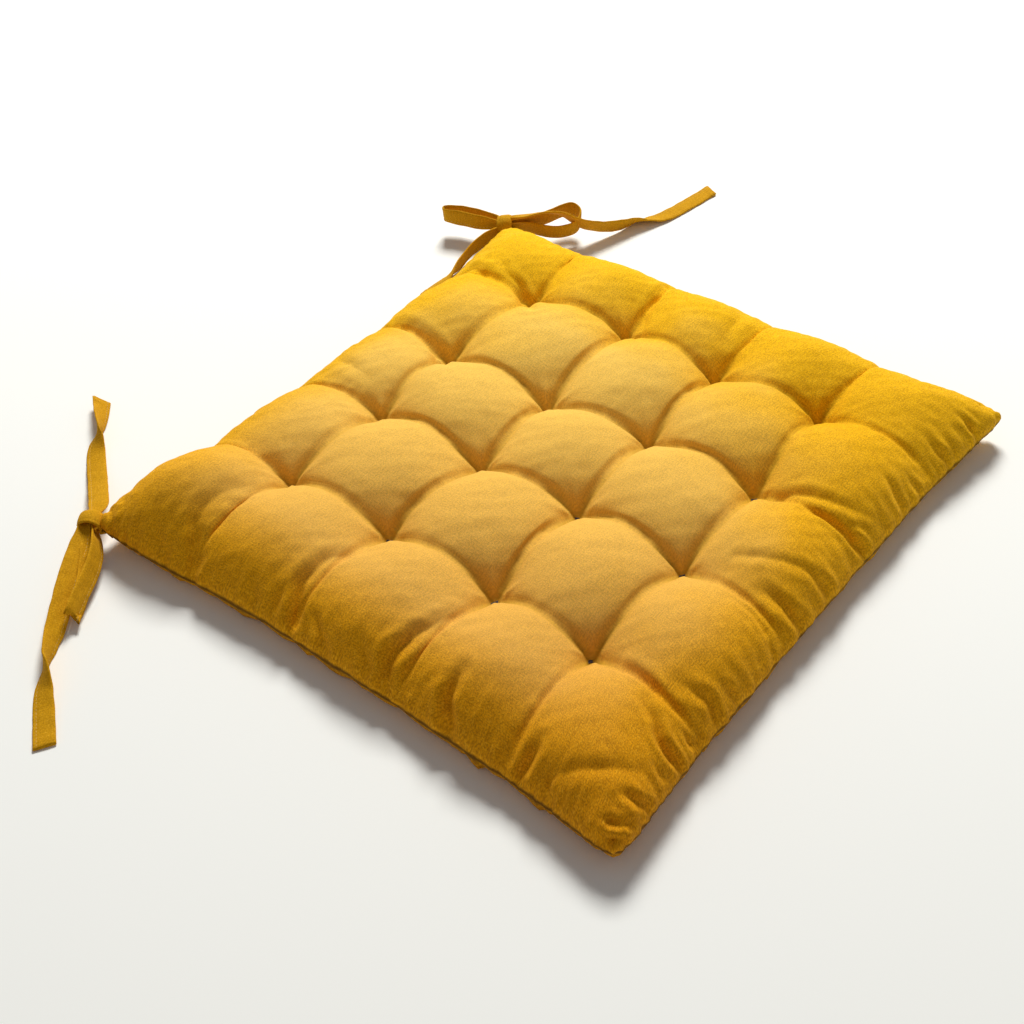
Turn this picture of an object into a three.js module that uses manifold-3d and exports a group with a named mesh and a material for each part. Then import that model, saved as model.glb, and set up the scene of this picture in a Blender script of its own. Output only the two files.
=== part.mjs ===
import * as THREE from "three";
import { mergeVertices } from "three/addons/utils/BufferGeometryUtils.js";
import Module from "manifold-3d";

// A square tufted chair pad of cotton, lying on a flat surface, with a bow tie at each rear corner.
// Millimetres, +Z up. The origin is the middle of the underside and the rear edge faces +Y.

// Pad: how high its seam, its tufts and its filling stand
const seamHeight = 9;
const cornerHeight = 14;
const tuftHeight = 22;
const tuftGap = 6;
const valleyFill = 15;
const crownFill = 10;
const crownSharpness = 0.55;
const sideBowPower = 4;

// Where the seam turns at the four corners
const corners = {
  frontLeft: { x: -206, y: -187.5 },
  frontRight: { x: 207, y: -192.5 },
  rearLeft: { x: -198.5, y: 187.5 },
  rearRight: { x: 192, y: 187.5 },
};

// How far the middle of each side is drawn in from the straight line between its corners
const drawIn = { left: 9, right: 5, front: 6.5, rear: 7 };

// The tufts, one row for each line of four from the left edge to the right
const tuftLines = [
  { x: [-118.2, -115.8, -113.5, -114.0], y: [-111.1, -43.4, 35.6, 112.0] },
  { x: [-37.0, -33.7, -37.2, -35.5], y: [-114.6, -40.0, 28.8, 109.5] },
  { x: [41.4, 41.7, 32.3, 33.7], y: [-113.2, -38.4, 31.6, 111.5] },
  { x: [123.6, 117.4, 121.5, 114.7], y: [-108.6, -37.4, 34.5, 105.5] },
];

// Gathers in the border: along is the share of the side, reach how far in from the seam they run
const gathers = [
  { side: "left", along: 0.09, reach: 0.55, depth: 3.2, width: 10 },
  { side: "left", along: 0.34, reach: 0.7, depth: 2.2, width: 13 },
  { side: "left", along: 0.66, reach: 0.75, depth: 2.6, width: 14 },
  { side: "left", along: 0.9, reach: 0.6, depth: 3.4, width: 10 },
  { side: "front", along: 0.08, reach: 0.6, depth: 4.0, width: 9 },
  { side: "front", along: 0.16, reach: 0.5, depth: 2.6, width: 9 },
  { side: "front", along: 0.47, reach: 0.7, depth: 2.0, width: 13 },
  { side: "front", along: 0.86, reach: 0.55, depth: 2.8, width: 11 },
  { side: "right", along: 0.07, reach: 0.5, depth: 3.0, width: 10 },
  { side: "right", along: 0.5, reach: 0.6, depth: 1.8, width: 14 },
  { side: "rear", along: 0.12, reach: 0.6, depth: 3.0, width: 11 },
  { side: "rear", along: 0.88, reach: 0.55, depth: 2.6, width: 11 },
];

const cellCount = tuftLines.length + 1;
const stepsPerCell = 8;
const gridSteps = cellCount * stepsPerCell;

// Ties: a folded cotton strip
const stripWidth = 12.5;
const stripThickness = 1.6;
const stepsPerStation = 3;

// Each strip of a tie runs through its stations. tilt turns it about its own run, 0 lying flat.
// across fixes the plan direction of its width, for the loops, which double back on themselves.
const leftKnot = { x: -201.4, y: 194.1, z: 15, radiusX: 8.5, radiusY: 6.5, radiusZ: 6 };
const leftStrips = [
  {
    stations: [
      { x: -200, y: 196, z: 16, tilt: 0 },
      { x: -191, y: 200.5, z: 15, tilt: 0 },
      { x: -181.3, y: 211.9, z: 11, tilt: 4 },
      { x: -167.1, y: 230.7, z: 5, tilt: 6 },
      { x: -150.6, y: 251.5, z: 1.5, tilt: 12 },
      { x: -140.5, y: 261.2, z: 2.5, tilt: 46 },
      { x: -134.4, y: 265.9, z: 6, tilt: 88 },
      { x: -124.9, y: 275.3, z: 5, tilt: 122 },
      { x: -112, y: 289.5, z: 3, tilt: 146 },
    ],
  },
  {
    stations: [
      { x: -201, y: 197, z: 17.5, tilt: 0 },
      { x: -206, y: 194.3, z: 16.5, tilt: 0 },
      { x: -216.5, y: 187.2, z: 13, tilt: 0 },
      { x: -229.4, y: 179, z: 11, tilt: -3 },
      { x: -247.8, y: 166.3, z: 9, tilt: 0 },
      { x: -265.8, y: 153.3, z: 6, tilt: 22 },
      { x: -274, y: 147.8, z: 5, tilt: 48 },
      { x: -284.9, y: 139.4, z: 6.2, tilt: 86 },
      { x: -291.3, y: 132.7, z: 5, tilt: 118 },
      { x: -302.5, y: 121.3, z: 2.5, tilt: 160 },
      { x: -324.5, y: 94.9, z: 1, tilt: 180 },
    ],
  },
  {
    across: 45,
    stations: [
      { x: -203, y: 192.5, z: 14, tilt: 70 },
      { x: -209.6, y: 180, z: 13, tilt: 62 },
      { x: -220.5, y: 170.8, z: 11.5, tilt: 30 },
      { x: -232, y: 163.6, z: 9.8, tilt: 8 },
      { x: -243.5, y: 156.8, z: 8.6, tilt: 0 },
      { x: -252.2, y: 151.8, z: 7.6, tilt: 0 },
      { x: -255, y: 150.2, z: 5.6, tilt: 0 },
      { x: -250.5, y: 153.4, z: 3.8, tilt: 0 },
      { x: -236, y: 163.5, z: 4.4, tilt: 0 },
      { x: -223, y: 174.5, z: 6.2, tilt: 4 },
      { x: -212.5, y: 185.5, z: 9.2, tilt: 20 },
      { x: -204.5, y: 194, z: 12.6, tilt: 34 },
    ],
  },
];

const rightKnot = { x: 195.2, y: 193.4, z: 15.5, radiusX: 6.5, radiusY: 6.5, radiusZ: 6.5 };
const rightStrips = [
  {
    across: 200,
    stations: [
      { x: 192.5, y: 196.5, z: 16.5, tilt: 88 },
      { x: 184.5, y: 210.5, z: 17, tilt: 88 },
      { x: 180.8, y: 224, z: 17, tilt: 88 },
      { x: 177.6, y: 232.5, z: 17, tilt: 82 },
      { x: 177.4, y: 236.5, z: 17, tilt: 78 },
      { x: 180.2, y: 238.3, z: 17, tilt: 78 },
      { x: 183.8, y: 235, z: 17, tilt: 82 },
      { x: 189, y: 223.6, z: 17, tilt: 86 },
      { x: 192.2, y: 210.3, z: 17, tilt: 86 },
      { x: 195.2, y: 198.5, z: 16.5, tilt: 86 },
    ],
  },
  {
    stations: [
      { x: 193.5, y: 195, z: 14.5, tilt: 92 },
      { x: 183, y: 195.8, z: 13, tilt: 94 },
      { x: 172.9, y: 198.2, z: 11, tilt: 96 },
      { x: 163.2, y: 199.3, z: 9, tilt: 98 },
      { x: 151.3, y: 198, z: 7, tilt: 98 },
      { x: 138.7, y: 196, z: 6.3, tilt: 112 },
      { x: 124, y: 194.5, z: 4, tilt: 156 },
      { x: 104, y: 194.5, z: 1, tilt: 180 },
    ],
  },
  {
    across: 230,
    stations: [
      { x: 198.5, y: 193, z: 15.5, tilt: 76 },
      { x: 206, y: 183.5, z: 16, tilt: 76 },
      { x: 213.5, y: 176.5, z: 17, tilt: 78 },
      { x: 222, y: 171.6, z: 18, tilt: 80 },
      { x: 230.5, y: 168.2, z: 19, tilt: 82 },
      { x: 236.6, y: 164, z: 19, tilt: 84 },
      { x: 236.8, y: 157.6, z: 18, tilt: 84 },
      { x: 232, y: 152.6, z: 16.5, tilt: 82 },
      { x: 224.3, y: 151.7, z: 14.4, tilt: 78 },
      { x: 216, y: 157, z: 13, tilt: 76 },
      { x: 209.8, y: 165.2, z: 13, tilt: 74 },
      { x: 206, y: 177, z: 13.5, tilt: 72 },
      { x: 199.5, y: 191, z: 15, tilt: 70 },
    ],
  },
  {
    stations: [
      { x: 197, y: 194.5, z: 18.5, tilt: 16 },
      { x: 201.5, y: 187, z: 21, tilt: 20 },
      { x: 206.2, y: 178, z: 24, tilt: 26 },
      { x: 212.5, y: 168.6, z: 26.5, tilt: 34 },
      { x: 218, y: 158.5, z: 26, tilt: 44 },
      { x: 224.2, y: 150.2, z: 20.5, tilt: 54 },
      { x: 231.8, y: 144.6, z: 15, tilt: 60 },
      { x: 243.9, y: 137.7, z: 10, tilt: 66 },
      { x: 256.2, y: 132.4, z: 7, tilt: 68 },
      { x: 268.7, y: 129, z: 5, tilt: 50 },
      { x: 281, y: 123.4, z: 2.5, tilt: 20 },
      { x: 297, y: 117, z: 1, tilt: 2 },
      { x: 344.7, y: 109.5, z: 1, tilt: 0 },
    ],
  },
];

const cottonMaterial = new THREE.MeshStandardMaterial({ color: 0xdda32e, roughness: 0.92, metalness: 0 });
const stripMaterial = new THREE.MeshStandardMaterial({ color: 0xd0941a, roughness: 0.9, metalness: 0 });

const wasm = await Module();
wasm.setup();

function lerp(a, b, share) {
  return a + (b - a) * share;
}

// A smooth curve through the values of a row, read at a place counted in rows.
function alongRow(values, place) {
  const last = values.length - 1;
  const i = Math.min(Math.floor(place), last - 1);
  const f = place - i;
  const before = i > 0 ? values[i - 1] : 2 * values[0] - values[1];
  const after = i + 2 <= last ? values[i + 2] : 2 * values[last] - values[last - 1];
  const [p, q] = [values[i], values[i + 1]];
  const bend = (2 * before - 5 * p + 4 * q - after) * f * f + (3 * p - before - 3 * q + after) * f * f * f;
  return 0.5 * (2 * p + (q - before) * f + bend);
}

// A point of the seam on one side, bowed inwards between the two corners.
function seamPoint(side, share) {
  const ends = {
    left: [corners.frontLeft, corners.rearLeft, 1, 0],
    right: [corners.frontRight, corners.rearRight, -1, 0],
    front: [corners.frontLeft, corners.frontRight, 0, 1],
    rear: [corners.rearLeft, corners.rearRight, 0, -1],
  };
  const [a, b, inX, inY] = ends[side];
  const bow = drawIn[side] * (1 - Math.abs(2 * share - 1) ** sideBowPower);
  return { x: lerp(a.x, b.x, share) + inX * bow, y: lerp(a.y, b.y, share) + inY * bow };
}

// The place in plan of grid point s, t, both counted in cells from the front left corner.
function planPoint(s, t) {
  const point = {};
  for (const axis of ["x", "y"]) {
    const row = tuftLines.map((line, i) => {
      const share = (i + 1) / cellCount;
      const front = seamPoint("front", share)[axis];
      const rear = seamPoint("rear", share)[axis];
      return alongRow([front, ...line[axis], rear], t);
    });
    const left = seamPoint("left", t / cellCount)[axis];
    const right = seamPoint("right", t / cellCount)[axis];
    point[axis] = alongRow([left, ...row, right], s);
  }
  return point;
}

// How far a grid line lies out in the border: 0 at the outer tufts, 1 at the seam.
function borderShare(place) {
  return Math.max(0, 1 - place, place - (cellCount - 1));
}

// The fill across a cell: none at the tuft lines, full in its middle and out to the seam.
function fillAcross(place) {
  const f = place - Math.floor(place);
  return borderShare(place) > 0.5 ? 1 : (4 * f * (1 - f)) ** crownSharpness;
}

// The round of the roll along the edges: full inside it, nothing at the seam, fuller at the corners.
function edgeRoll(s, t) {
  const rolls = [s, t].map((place) => Math.sqrt(1 - Math.max(0, 2 * borderShare(place) - 1) ** 2));
  return Math.min(...rolls) * Math.sqrt(Math.max(...rolls));
}

// The depth of the gathers at a grid point.
function gatherDepth(s, t) {
  const distance = { left: s, right: cellCount - s, front: t, rear: cellCount - t };
  let depth = 0;
  for (const gather of gathers) {
    const runsAlongY = gather.side === "left" || gather.side === "right";
    const along = (runsAlongY ? t : s) / cellCount - gather.along;
    const sideways = (along * (corners.frontRight.x - corners.frontLeft.x)) / gather.width;
    const inwards = distance[gather.side] / gather.reach;
    if (inwards < 1) depth += gather.depth * (1 - inwards) * Math.exp(-sideways * sideways);
  }
  return depth;
}

// The two heights of the pad at a grid point.
function padHeights(s, t) {
  const out = Math.max(borderShare(s), borderShare(t));
  const corner = (borderShare(s) * borderShare(t)) ** 2;
  const seam = lerp(seamHeight, cornerHeight, corner);
  const middle = lerp(tuftHeight, seam, out * out * (3 - 2 * out));
  const [a, b] = [fillAcross(s), fillAcross(t)];
  const fill = tuftGap / 2 + valleyFill * (a + b - a * b) + crownFill * a * b;
  const half = edgeRoll(s, t) * Math.max(0, fill - gatherDepth(s, t));
  return { top: middle + half, bottom: Math.max(0, middle - half) };
}

function geometryFrom(positions, indices) {
  const geometry = new THREE.BufferGeometry();
  geometry.setAttribute("position", new THREE.Float32BufferAttribute(positions, 3));
  geometry.setIndex(indices);
  return geometry;
}

// The pad is one filled solid: a top grid and a bottom grid that share the seam.
function padGeometry() {
  const positions = [];
  const indices = [];
  const side = gridSteps + 1;
  const number = (level, i, j) => level * side * side + j * side + i;
  for (const level of ["top", "bottom"]) {
    for (let j = 0; j < side; j++) {
      for (let i = 0; i < side; i++) {
        const [s, t] = [i / stepsPerCell, j / stepsPerCell];
        const { x, y } = planPoint(s, t);
        positions.push(x, y, padHeights(s, t)[level]);
      }
    }
  }
  for (let j = 0; j < gridSteps; j++) {
    for (let i = 0; i < gridSteps; i++) {
      for (const level of [0, 1]) {
        const a = number(level, i, j);
        const b = number(level, i + 1, j);
        const c = number(level, i + 1, j + 1);
        const d = number(level, i, j + 1);
        const forward = i < gridSteps / 2 === j < gridSteps / 2;
        const triangles = forward ? [[a, b, c], [a, c, d]] : [[a, b, d], [b, c, d]];
        for (const [p, q, r] of triangles) indices.push(...(level === 0 ? [p, q, r] : [p, r, q]));
      }
    }
  }
  return mergeVertices(geometryFrom(positions, indices), 1e-3);
}

// One strip of a tie: a flat section carried through its stations, never below the surface.
function stripGeometry({ stations, across }) {
  const curve = new THREE.CatmullRomCurve3(
    stations.map(({ x, y, z }) => new THREE.Vector3(x, y, z)),
    false,
    "centripetal",
  );
  const steps = (stations.length - 1) * stepsPerStation;
  const positions = [];
  const indices = [];
  for (let k = 0; k <= steps; k++) {
    const place = k / steps;
    const run = curve.getTangent(place);
    const heading = across === undefined
      ? Math.atan2(run.y, run.x) - Math.PI / 2
      : THREE.MathUtils.degToRad(across);
    const tilt = THREE.MathUtils.degToRad(alongRow(stations.map((s) => s.tilt), k / stepsPerStation));
    const wide = new THREE.Vector3(
      Math.cos(tilt) * Math.cos(heading),
      Math.cos(tilt) * Math.sin(heading),
      Math.sin(tilt),
    );
    wide.addScaledVector(run, -wide.dot(run)).normalize().multiplyScalar(stripWidth / 2);
    const thick = new THREE.Vector3().crossVectors(wide, run).setLength(stripThickness / 2);
    const centre = curve.getPoint(place);
    centre.z = Math.max(centre.z, Math.abs(wide.z) + Math.abs(thick.z));
    for (const [w, h] of [[-1, -1], [1, -1], [1, 1], [-1, 1]]) {
      const corner = centre.clone().addScaledVector(wide, w).addScaledVector(thick, h);
      positions.push(corner.x, corner.y, corner.z);
    }
  }
  for (let k = 0; k < steps; k++) {
    for (let c = 0; c < 4; c++) {
      const [a, b] = [4 * k + c, 4 * k + ((c + 1) % 4)];
      indices.push(a, a + 4, b, b, a + 4, b + 4);
    }
  }
  const end = 4 * steps;
  indices.push(0, 1, 2, 0, 2, 3, end, end + 2, end + 1, end, end + 3, end + 2);
  return geometryFrom(positions, indices);
}

function knotGeometry({ x, y, z, radiusX, radiusY, radiusZ }) {
  const geometry = new THREE.SphereGeometry(1, 14, 10);
  geometry.scale(radiusX, radiusY, radiusZ).translate(x, y, z);
  geometry.deleteAttribute("normal");
  geometry.deleteAttribute("uv");
  return mergeVertices(geometry, 1e-3);
}

function solidOf(geometry) {
  const vertProperties = new Float32Array(geometry.attributes.position.array);
  const triVerts = new Uint32Array(geometry.index.array);
  const made = new wasm.Manifold(new wasm.Mesh({ numProp: 3, vertProperties, triVerts }));
  return made;
}

// A tie is one solid: its knot and all its strips joined, less any sliver left between them.
function tieGeometry(knot, strips) {
  let joined = solidOf(knotGeometry(knot));
  for (const strip of strips) joined = joined.add(solidOf(stripGeometry(strip)));
  const bodies = joined.decompose().sort((a, b) => b.volume() - a.volume());
  const { numProp, vertProperties, triVerts } = bodies[0].getMesh();
  const positions = [];
  for (let i = 0; i < vertProperties.length; i += numProp) positions.push(...vertProperties.slice(i, i + 3));
  return geometryFrom(positions, Array.from(triVerts));
}

function piece(name, geometry, material) {
  const mesh = new THREE.Mesh(geometry, material);
  mesh.name = name;
  return mesh;
}

const chairPad = new THREE.Group();
chairPad.add(piece("pad", padGeometry(), cottonMaterial));
chairPad.add(piece("tie_left", tieGeometry(leftKnot, leftStrips), stripMaterial));
chairPad.add(piece("tie_right", tieGeometry(rightKnot, rightStrips), stripMaterial));

export default chairPad;
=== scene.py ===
import bpy
import math
import numpy as np
from mathutils import Matrix, Vector, noise


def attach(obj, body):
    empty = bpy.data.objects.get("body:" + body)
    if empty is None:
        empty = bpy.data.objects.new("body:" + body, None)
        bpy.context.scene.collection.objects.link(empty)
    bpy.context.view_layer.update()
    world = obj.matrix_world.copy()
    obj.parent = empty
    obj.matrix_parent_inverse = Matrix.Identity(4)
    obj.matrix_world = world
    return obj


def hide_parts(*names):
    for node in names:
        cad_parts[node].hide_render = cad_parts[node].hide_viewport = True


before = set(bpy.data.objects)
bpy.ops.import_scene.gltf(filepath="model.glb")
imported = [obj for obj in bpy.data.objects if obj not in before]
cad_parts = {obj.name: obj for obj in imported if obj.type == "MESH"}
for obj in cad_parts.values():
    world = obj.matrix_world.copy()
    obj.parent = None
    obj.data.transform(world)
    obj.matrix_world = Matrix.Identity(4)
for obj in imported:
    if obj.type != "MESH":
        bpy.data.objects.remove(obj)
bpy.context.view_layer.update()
scene = bpy.context.scene
mm = 0.001


# helpers

def linear(hexColour):
    # sRGB hex to the linear values that a shader wants
    parts = [int(hexColour[i:i + 2], 16) / 255 for i in (1, 3, 5)]
    return [c / 12.92 if c <= 0.04045 else ((c + 0.055) / 1.055) ** 2.4 for c in parts] + [1.0]


def addNode(tree, kind, settings=None, links=None):
    # one node: settings are its properties, links its sockets, each a value or (node, output)
    node = tree.nodes.new(kind)
    for name, value in (settings or {}).items():
        setattr(node, name, value)
    for name, value in (links or {}).items():
        if isinstance(value, tuple) and len(value) == 2 and isinstance(value[0], bpy.types.Node):
            tree.links.new(value[0].outputs[value[1]], node.inputs[name])
        else:
            node.inputs[name].default_value = value
    return node


def makeMesh(name, points, faces, uvs=None, material=None):
    # points in mm; uvs are one pair a corner, in metres of flat cloth
    mesh = bpy.data.meshes.new(name)
    mesh.from_pydata((np.asarray(points) * mm).tolist(), [], [tuple(int(i) for i in f) for f in faces])
    mesh.update()
    if uvs is not None:
        layer = mesh.uv_layers.new(name="clothCut")
        layer.data.foreach_set("uv", np.asarray(uvs, np.float32).ravel())
    mesh.polygons.foreach_set("use_smooth", [True] * len(mesh.polygons))
    piece = bpy.data.objects.new(name, mesh)
    scene.collection.objects.link(piece)
    if material:
        mesh.materials.append(material)
    return piece


def curveThrough(rows, place):
    # a smooth curve through rows of numbers, read at places counted in rows
    rows = np.asarray(rows, float)
    last = len(rows) - 1
    place = np.atleast_1d(np.asarray(place, float))
    i = np.minimum(np.floor(place).astype(int), last - 1)
    f = (place - i).reshape(-1, *[1] * (rows.ndim - 1))
    e = np.concatenate([2 * rows[:1] - rows[1:2], rows, 2 * rows[-1:] - rows[-2:-1]])
    a, b, c, d = e[i], e[i + 1], e[i + 2], e[i + 3]
    square = 2 * a - 5 * b + 4 * c - d
    cube = 3 * b - a - 3 * c + d
    return 0.5 * (2 * b + (c - a) * f + square * f ** 2 + cube * f ** 3)


def unit(v):
    return v / np.maximum(np.linalg.norm(v, axis=-1, keepdims=True), 1e-9)


def smoothStep(x):
    x = np.clip(x, 0, 1)
    return x * x * (3 - 2 * x)


def evenly(rows, step):
    # the curve through rows, read again at even distances
    fine = curveThrough(rows, np.linspace(0, len(rows) - 1, 40 * len(rows)))
    length = np.concatenate([[0], np.cumsum(np.linalg.norm(np.diff(fine[:, :3], axis=0), axis=1))])
    places = np.linspace(0, length[-1], max(6, int(round(length[-1] / step))))
    return np.stack([np.interp(places, length, column) for column in fine.T], 1), places


def applyModifiers(piece):
    # turns what the modifiers give into the piece's own plain mesh
    graph = bpy.context.evaluated_depsgraph_get()
    mesh = bpy.data.meshes.new_from_object(piece.evaluated_get(graph), depsgraph=graph)
    piece.modifiers.clear()
    if piece.data.shape_keys:
        piece.shape_key_clear()
    piece.data = mesh
    return piece


# camera

cameraSettings = {
    "azimuth": -51.11,
    "elevation": 42.96,
    "roll": -1.4,
    "distance": 0.9773,
    "target": (-0.03233, 0.01028, 0.0),
    "lens": 56.66,
    "sensor": 36.0,
}


def placeCamera(name, s):
    azimuth, elevation, roll = (math.radians(s[k]) for k in ("azimuth", "elevation", "roll"))
    back = Vector((
        math.sin(azimuth) * math.cos(elevation),
        -math.cos(azimuth) * math.cos(elevation),
        math.sin(elevation),
    ))
    right = (-back).cross(Vector((0, 0, 1))).normalized()
    up = right.cross(-back)
    turnedRight = right * math.cos(roll) + up * math.sin(roll)
    turnedUp = up * math.cos(roll) - right * math.sin(roll)
    data = bpy.data.cameras.new(name)
    data.lens = s["lens"]
    data.sensor_width = s["sensor"]
    data.clip_start = 0.01
    camera = bpy.data.objects.new(name, data)
    placed = Matrix((turnedRight, turnedUp, back)).transposed().to_4x4()
    placed.translation = Vector(s["target"]) + back * s["distance"]
    camera.matrix_world = placed
    scene.collection.objects.link(camera)
    return camera


scene.camera = placeCamera("photoCamera", cameraSettings)
print("camera placed")


# materials

clothColours = {
    "body": "#F0B006",
    # painted sheen: the paler tint for the top of the cover
    "paintedSheenTint": "#EDBA5E",
    "deep": "#D49302",
    "fibre": "#FFC838",
    # painted shade: the darker tint for the creases
    "crease": "#B08600",
    "seam": "#4A2E04",
}

coverWeave = {
    "threadPitch": 0.95 * mm,     # real threads are 0.45 mm apart, drawn twice as coarse so that they show
    "slubLength": 8 * mm,
    "grain": 0.95 * mm,
    "mottle": 2.4 * mm,
    "cloud": 55 * mm,
    "bumpDistance": 0.3 * mm,
}

# painted light on the cover: a paler top standing in for sheen, and a clearer, yellower rear right standing
# in for the key light
coverPaintedLight = {
    "middle": (-0.056, 0.01),     # where the painted sheen is palest, in metres
    "radius": 0.2,
    "paintedLightLean": (1.2, 0.5, 0.0),      # painted light: clearer and yellower towards the rear right, where the key light falls
    "paintedLightSlope": (0.42, 0.95, 1.0),
    "paintedLightBase": (1.045, 1.08, 1.0),
}


def wovenCotton(name, weave, colours, paintedLight=None):
    # plain-woven, piece-dyed cotton: matt, with uneven threads, flecks of pale fibre and a soft nap
    material = bpy.data.materials.new(name)
    material.use_nodes = True
    tree = material.node_tree
    tree.nodes.clear()
    pitch, slubLength = weave["threadPitch"], weave["slubLength"]
    out = addNode(tree, "ShaderNodeOutputMaterial")
    uv = addNode(tree, "ShaderNodeUVMap", {"uv_map": "clothCut"})
    place = addNode(tree, "ShaderNodeTexCoord")
    # threads wander a little, so the weave is not a ruled grid
    wander = addNode(tree, "ShaderNodeTexNoise", links={
        "Vector": (uv, "UV"), "Scale": 1 / (9 * pitch), "Detail": 1.0})
    moved = addNode(tree, "ShaderNodeVectorMath", {"operation": "MULTIPLY_ADD"}, {
        0: (wander, "Color"), 1: (0.9 * pitch,) * 3, 2: (uv, "UV")})
    turns = addNode(tree, "ShaderNodeVectorMath", {"operation": "SCALE"}, {
        0: (moved, 0), "Scale": math.pi / pitch})
    waves = addNode(tree, "ShaderNodeVectorMath", {"operation": "SINE"}, {0: (turns, 0)})
    axes = addNode(tree, "ShaderNodeSeparateXYZ", links={0: (waves, 0)})
    crossing = addNode(tree, "ShaderNodeMath", {"operation": "MULTIPLY"}, {0: (axes, "X"), 1: (axes, "Y")})
    overs = addNode(tree, "ShaderNodeMath", {"operation": "ABSOLUTE"}, {0: (crossing, 0)})
    warpPlace = addNode(tree, "ShaderNodeMapping", links={
        "Vector": (uv, "UV"), "Scale": (1 / (1.1 * pitch), 1 / slubLength, 1.0)})
    warpSlub = addNode(tree, "ShaderNodeTexNoise", links={
        "Vector": (warpPlace, "Vector"), "Scale": 1.0, "Detail": 2.0})
    weftPlace = addNode(tree, "ShaderNodeMapping", links={
        "Vector": (uv, "UV"), "Scale": (1 / slubLength, 1 / (1.1 * pitch), 1.0)})
    weftSlub = addNode(tree, "ShaderNodeTexNoise", links={
        "Vector": (weftPlace, "Vector"), "Scale": 1.0, "Detail": 2.0})
    slub = addNode(tree, "ShaderNodeMath", {"operation": "ADD"}, {0: (warpSlub, "Fac"), 1: (weftSlub, "Fac")})
    grain = addNode(tree, "ShaderNodeTexNoise", links={
        "Vector": (uv, "UV"), "Scale": 1 / weave["grain"], "Detail": 1.5, "Roughness": 0.6})
    mottle = addNode(tree, "ShaderNodeTexNoise", links={
        "Vector": (uv, "UV"), "Scale": 1 / weave["mottle"], "Detail": 3.0, "Roughness": 0.7})
    cloud = addNode(tree, "ShaderNodeTexNoise", links={
        "Vector": (place, "Object"), "Scale": 1 / weave["cloud"], "Detail": 2.0})

    relief = addNode(tree, "ShaderNodeMath", {"operation": "MULTIPLY_ADD"}, {
        0: (overs, 0), 1: 0.4, 2: (slub, 0)})
    relief = addNode(tree, "ShaderNodeMath", {"operation": "ADD"}, {0: (relief, 0), 1: (grain, "Fac")})
    bump = addNode(tree, "ShaderNodeBump", links={
        "Strength": 0.3, "Distance": weave["bumpDistance"], "Height": (relief, 0)})

    # every thread takes the dye a little differently
    dyed = addNode(tree, "ShaderNodeMath", {"operation": "MULTIPLY_ADD"}, {
        0: (slub, 0), 1: 0.35, 2: (grain, "Fac")})
    tone = addNode(tree, "ShaderNodeMapRange", links={
        "Value": (dyed, 0), "From Min": 0.66, "From Max": 1.02, "To Min": 0.0, "To Max": 1.0})
    colour = addNode(tree, "ShaderNodeMix", {"data_type": "RGBA"}, {
        "Factor": (tone, "Result"), 6: linear(colours["deep"]), 7: linear(colours["body"])})
    speck = addNode(tree, "ShaderNodeMath", {"operation": "ADD"}, {0: (mottle, "Fac"), 1: (grain, "Fac")})
    speck = addNode(tree, "ShaderNodeMapRange", links={
        "Value": (speck, 0), "From Min": 1.05, "From Max": 1.4, "To Min": 0.0, "To Max": 0.5})
    if paintedLight:
        # painted sheen: the top is mixed toward a paler tint than the sides, standing in for the sheen of
        # light on the upward-facing cloth
        worn = addNode(tree, "ShaderNodeAttribute", {"attribute_name": "worn"})
        shrink, (middleX, middleY) = 1 / paintedLight["radius"], paintedLight["middle"]
        centre = addNode(tree, "ShaderNodeMapping", links={
            "Vector": (place, "Object"), "Location": (-middleX * shrink, -middleY * shrink, 0.0),
            "Scale": (shrink, shrink, 0.0)})
        reach = addNode(tree, "ShaderNodeVectorMath", {"operation": "LENGTH"}, {0: (centre, 0)})
        radius = addNode(tree, "ShaderNodeMath", {"operation": "MULTIPLY_ADD"}, {
            0: (cloud, "Fac"), 1: 0.5, 2: (reach, "Value")})
        paintedSheenAmount = addNode(tree, "ShaderNodeMapRange", {"interpolation_type": "SMOOTHSTEP"}, {
            "Value": (radius, 0), "From Min": 0.8, "From Max": 1.35, "To Min": 0.85, "To Max": 0.0})
        paintedSheenAmount = addNode(tree, "ShaderNodeMath", {"operation": "MULTIPLY"}, {
            0: (paintedSheenAmount, "Result"), 1: (worn, "Fac")})
        colour = addNode(tree, "ShaderNodeMix", {"data_type": "RGBA", "blend_type": "MIX"}, {
            "Factor": (paintedSheenAmount, 0), 6: (colour, 2), 7: linear(colours["paintedSheenTint"])})
        # and its threads still show through the painted sheen
        shown = addNode(tree, "ShaderNodeMapRange", links={
            "Value": (dyed, 0), "From Min": 0.66, "From Max": 1.02, "To Min": 0.83, "To Max": 1.12})
        colour = addNode(tree, "ShaderNodeVectorMath", {"operation": "SCALE"}, {
            0: (colour, 2), "Scale": (shown, "Result")})
        # painted light: the colour is scaled clearer and yellower towards the rear right and darker towards
        # the front left, standing in for the fall of the key light
        paintedLightLean = addNode(tree, "ShaderNodeVectorMath", {"operation": "DOT_PRODUCT"}, {
            0: (place, "Object"), 1: paintedLight["paintedLightLean"]})
        paintedLightGain = addNode(tree, "ShaderNodeVectorMath", {"operation": "MULTIPLY_ADD"}, {
            0: (paintedLightLean, "Value"), 1: paintedLight["paintedLightSlope"], 2: paintedLight["paintedLightBase"]})
        colour = addNode(tree, "ShaderNodeVectorMath", {"operation": "MULTIPLY"}, {
            0: (colour, 0), 1: (paintedLightGain, 0)})
        colour = addNode(tree, "ShaderNodeMix", {"data_type": "RGBA"}, {
            "Factor": (speck, "Result"), 6: (colour, 0), 7: linear(colours["fibre"])})
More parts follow.
